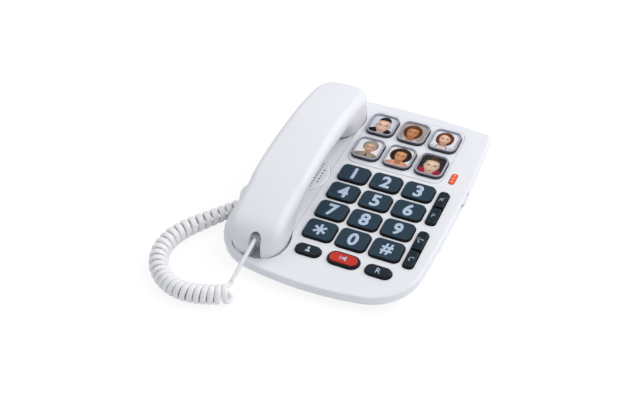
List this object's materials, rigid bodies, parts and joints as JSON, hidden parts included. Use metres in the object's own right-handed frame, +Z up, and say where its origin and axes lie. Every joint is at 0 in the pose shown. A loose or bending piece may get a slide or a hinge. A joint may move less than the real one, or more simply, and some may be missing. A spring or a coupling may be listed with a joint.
{
  "type": "corded landline phone",
  "caption": "Corded desk telephone with large number keys, six picture memory keys, a hands-free loudspeaker, and a lift-off handset on a curly cord.",
  "frame": {"origin": "under the middle of the phone without its cord, on the surface that its feet stand on", "axes": "+X to the user's right along the key rows, +Y away from the user towards the back edge, +Z up"},
  "size_m": [0.211, 0.2569, 0.0712],
  "materials": {
    "housing_white": "satin ABS moulding",
    "cord_white": "smooth PVC",
    "status_red": "translucent gloss",
    "key_navy": "semi-gloss",
    "key_red": "semi-gloss",
    "frame_grey": "semi-gloss",
    "clear_cap": "clear gloss",
    "foot_rubber": "matte",
    "mat_rubber": "matte silicone",
    "board_green": "solder mask",
    "socket_dark": "satin",
    "capsule_metal": "stamped steel"
  },
  "bodies": {
    "base": {"upper_housing": "housing_white", "lower_housing": "housing_white", "speaker_grille": "housing_white", "picture_key_panel": "housing_white", "status_light": "status_red", "hook_switch": "socket_dark", "loudspeaker": "capsule_metal", "circuit_board": "board_green", "keypad_mat": "mat_rubber", "line_socket": "socket_dark", "base_cord_socket": "socket_dark", "rubber_foot_1": "foot_rubber", "rubber_foot_2": "foot_rubber", "rubber_foot_3": "foot_rubber", "rubber_foot_4": "foot_rubber", "base_plug": "clear_cap", "curly_cord": "cord_white", "base_tail": "cord_white", "handset_tail": "cord_white"},
    "handset": {"handset_cover": "housing_white", "handset_face": "housing_white", "receiver_capsule": "capsule_metal", "microphone_capsule": "capsule_metal", "handset_cord_socket": "socket_dark", "handset_plug": "clear_cap"},
    "hook": {"hook_plunger": "housing_white"},
    "ringer_slider": {"ringer_switch": "housing_white"},
    "key_1": {"key_1": "key_navy"},
    "key_2": {"key_2": "key_navy"},
    "key_3": {"key_3": "key_navy"},
    "key_4": {"key_4": "key_navy"},
    "key_5": {"key_5": "key_navy"},
    "key_6": {"key_6": "key_navy"},
    "key_7": {"key_7": "key_navy"},
    "key_8": {"key_8": "key_navy"},
    "key_9": {"key_9": "key_navy"},
    "key_star": {"key_star": "key_navy"},
    "key_0": {"key_0": "key_navy"},
    "key_hash": {"key_hash": "key_navy"},
    "memory_key": {"memory_key": "key_navy"},
    "loudspeaker_key": {"loudspeaker_key": "key_navy", "loudspeaker_key_lens": "key_red"},
    "recall_key": {"recall_key": "key_navy"},
    "mute_key": {"mute_key": "key_navy"},
    "pause_key": {"pause_key": "key_navy"},
    "redial_key": {"redial_key": "key_navy"},
    "phone_type_key": {"phone_type_key": "key_navy"},
    "picture_key_1": {"picture_key_1": "frame_grey", "picture_cap_1": "clear_cap"},
    "picture_key_2": {"picture_key_2": "frame_grey", "picture_cap_2": "clear_cap"},
    "picture_key_3": {"picture_key_3": "frame_grey", "picture_cap_3": "clear_cap"},
    "picture_key_4": {"picture_key_4": "frame_grey", "picture_cap_4": "clear_cap"},
    "picture_key_5": {"picture_key_5": "frame_grey", "picture_cap_5": "clear_cap"},
    "picture_key_6": {"picture_key_6": "frame_grey", "picture_cap_6": "clear_cap"}
  },
  "joints": [
    {"name": "handset_lift", "type": "slide", "parent": "base", "child": "handset", "axis": [0, -0.1564, 0.9877], "range_m": [0, 0.05]},
    {"name": "hook_rise", "type": "slide", "parent": "base", "child": "hook", "axis": [0, -0.1564, 0.9877], "range_m": [0, 0.0036]},
    {"name": "ringer_slide", "type": "slide", "parent": "base", "child": "ringer_slider", "axis": [0, 0.9877, 0.1564], "range_m": [-0.004, 0.004]},
    {"name": "key_1_press", "type": "slide", "parent": "base", "child": "key_1", "axis": [0, 0.1564, -0.9877], "range_m": [0, 0.002], "stiffness_N_per_m": 300, "springref_m": -0.0005},
    {"name": "key_2_press", "type": "slide", "parent": "base", "child": "key_2", "axis": [0, 0.1564, -0.9877], "range_m": [0, 0.002], "stiffness_N_per_m": 300, "springref_m": -0.0005},
    {"name": "key_3_press", "type": "slide", "parent": "base", "child": "key_3", "axis": [0, 0.1564, -0.9877], "range_m": [0, 0.002], "stiffness_N_per_m": 300, "springref_m": -0.0005},
    {"name": "key_4_press", "type": "slide", "parent": "base", "child": "key_4", "axis": [0, 0.1564, -0.9877], "range_m": [0, 0.002], "stiffness_N_per_m": 300, "springref_m": -0.0005},
    {"name": "key_5_press", "type": "slide", "parent": "base", "child": "key_5", "axis": [0, 0.1564, -0.9877], "range_m": [0, 0.002], "stiffness_N_per_m": 300, "springref_m": -0.0005},
    {"name": "key_6_press", "type": "slide", "parent": "base", "child": "key_6", "axis": [0, 0.1564, -0.9877], "range_m": [0, 0.002], "stiffness_N_per_m": 300, "springref_m": -0.0005},
    {"name": "key_7_press", "type": "slide", "parent": "base", "child": "key_7", "axis": [0, 0.1564, -0.9877], "range_m": [0, 0.002], "stiffness_N_per_m": 300, "springref_m": -0.0005},
    {"name": "key_8_press", "type": "slide", "parent": "base", "child": "key_8", "axis": [0, 0.1564, -0.9877], "range_m": [0, 0.002], "stiffness_N_per_m": 300, "springref_m": -0.0005},
    {"name": "key_9_press", "type": "slide", "parent": "base", "child": "key_9", "axis": [0, 0.1564, -0.9877], "range_m": [0, 0.002], "stiffness_N_per_m": 300, "springref_m": -0.0005},
    {"name": "key_star_press", "type": "slide", "parent": "base", "child": "key_star", "axis": [0, 0.1564, -0.9877], "range_m": [0, 0.002], "stiffness_N_per_m": 300, "springref_m": -0.0005},
    {"name": "key_0_press", "type": "slide", "parent": "base", "child": "key_0", "axis": [0, 0.1564, -0.9877], "range_m": [0, 0.002], "stiffness_N_per_m": 300, "springref_m": -0.0005},
    {"name": "key_hash_press", "type": "slide", "parent": "base", "child": "key_hash", "axis": [0, 0.1564, -0.9877], "range_m": [0, 0.002], "stiffness_N_per_m": 300, "springref_m": -0.0005},
    {"name": "memory_key_press", "type": "slide", "parent": "base", "child": "memory_key", "axis": [0, 0.1564, -0.9877], "range_m": [0, 0.002], "stiffness_N_per_m": 300, "springref_m": -0.0005},
    {"name": "loudspeaker_key_press", "type": "slide", "parent": "base", "child": "loudspeaker_key", "axis": [0, 0.1564, -0.9877], "range_m": [0, 0.002], "stiffness_N_per_m": 300, "springref_m": -0.0005},
    {"name": "recall_key_press", "type": "slide", "parent": "base", "child": "recall_key", "axis": [0, 0.1564, -0.9877], "range_m": [0, 0.002], "stiffness_N_per_m": 300, "springref_m": -0.0005},
    {"name": "mute_key_press", "type": "slide", "parent": "base", "child": "mute_key", "axis": [0, 0.1564, -0.9877], "range_m": [0, 0.002], "stiffness_N_per_m": 300, "springref_m": -0.0005},
    {"name": "pause_key_press", "type": "slide", "parent": "base", "child": "pause_key", "axis": [0, 0.1564, -0.9877], "range_m": [0, 0.002], "stiffness_N_per_m": 300, "springref_m": -0.0005},
    {"name": "redial_key_press", "type": "slide", "parent": "base", "child": "redial_key", "axis": [0, 0.1564, -0.9877], "range_m": [0, 0.002], "stiffness_N_per_m": 300, "springref_m": -0.0005},
    {"name": "phone_type_key_press", "type": "slide", "parent": "base", "child": "phone_type_key", "axis": [0, 0.1564, -0.9877], "range_m": [0, 0.002], "stiffness_N_per_m": 300, "springref_m": -0.0005},
    {"name": "picture_key_1_press", "type": "slide", "parent": "base", "child": "picture_key_1", "axis": [0, 0.1564, -0.9877], "range_m": [0, 0.002], "stiffness_N_per_m": 300, "springref_m": -0.0005},
    {"name": "picture_key_2_press", "type": "slide", "parent": "base", "child": "picture_key_2", "axis": [0, 0.1564, -0.9877], "range_m": [0, 0.002], "stiffness_N_per_m": 300, "springref_m": -0.0005},
    {"name": "picture_key_3_press", "type": "slide", "parent": "base", "child": "picture_key_3", "axis": [0, 0.1564, -0.9877], "range_m": [0, 0.002], "stiffness_N_per_m": 300, "springref_m": -0.0005},
    {"name": "picture_key_4_press", "type": "slide", "parent": "base", "child": "picture_key_4", "axis": [0, 0.1564, -0.9877], "range_m": [0, 0.002], "stiffness_N_per_m": 300, "springref_m": -0.0005},
    {"name": "picture_key_5_press", "type": "slide", "parent": "base", "child": "picture_key_5", "axis": [0, 0.1564, -0.9877], "range_m": [0, 0.002], "stiffness_N_per_m": 300, "springref_m": -0.0005},
    {"name": "picture_key_6_press", "type": "slide", "parent": "base", "child": "picture_key_6", "axis": [0, 0.1564, -0.9877], "range_m": [0, 0.002], "stiffness_N_per_m": 300, "springref_m": -0.0005}
  ],
  "couplings": [
    {"joint": "hook_rise", "follows": "handset_lift", "ratio": 0.07}
  ]
}
